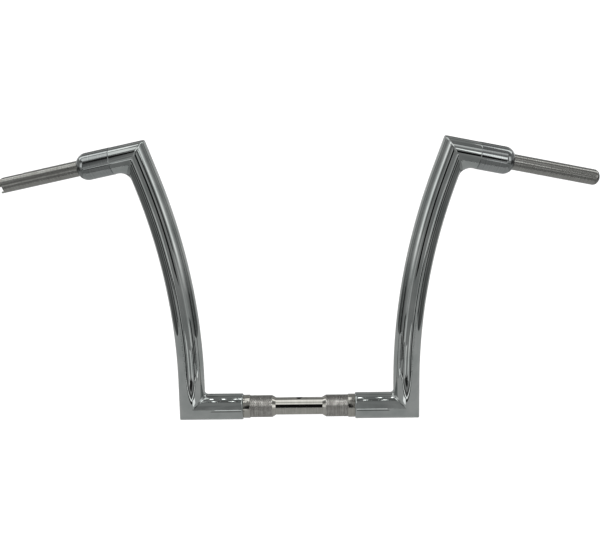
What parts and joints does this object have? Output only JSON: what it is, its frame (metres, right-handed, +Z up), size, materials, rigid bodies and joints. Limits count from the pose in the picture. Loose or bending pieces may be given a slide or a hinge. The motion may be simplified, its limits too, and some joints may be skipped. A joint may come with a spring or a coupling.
{
  "type": "motorcycle handlebar",
  "caption": "Tall chromed motorcycle handlebar of wide tube with mitred corners, knurled clamp lands and slim grip tubes.",
  "frame": {"origin": "middle of the bar on the axis of the clamp lands", "axes": "+X along the clamp axis to the rider's left, +Y towards the rider, +Z up"},
  "size_m": [0.8533, 0.0586, 0.4121],
  "materials": {
    "chromed_tube": "bright chrome plate",
    "chromed_collar": "bright chrome plate",
    "polished_tube": "polished chrome plate",
    "turned_sleeve": "chromed, knurled land",
    "satin_grip_tube": "satin chrome"
  },
  "bodies": {
    "root": {"centre_tube": "polished_tube", "left_clamp_sleeve": "turned_sleeve", "right_clamp_sleeve": "turned_sleeve", "left_base_tube": "chromed_tube", "right_base_tube": "chromed_tube", "left_riser": "chromed_tube", "right_riser": "chromed_tube", "left_top_stub": "chromed_tube", "right_top_stub": "chromed_tube", "left_collar": "chromed_collar", "right_collar": "chromed_collar", "throttle_grip_tube": "satin_grip_tube", "clutch_grip_tube": "satin_grip_tube", "clutch_end_plug": "satin_grip_tube"}
  },
  "joints": []
}
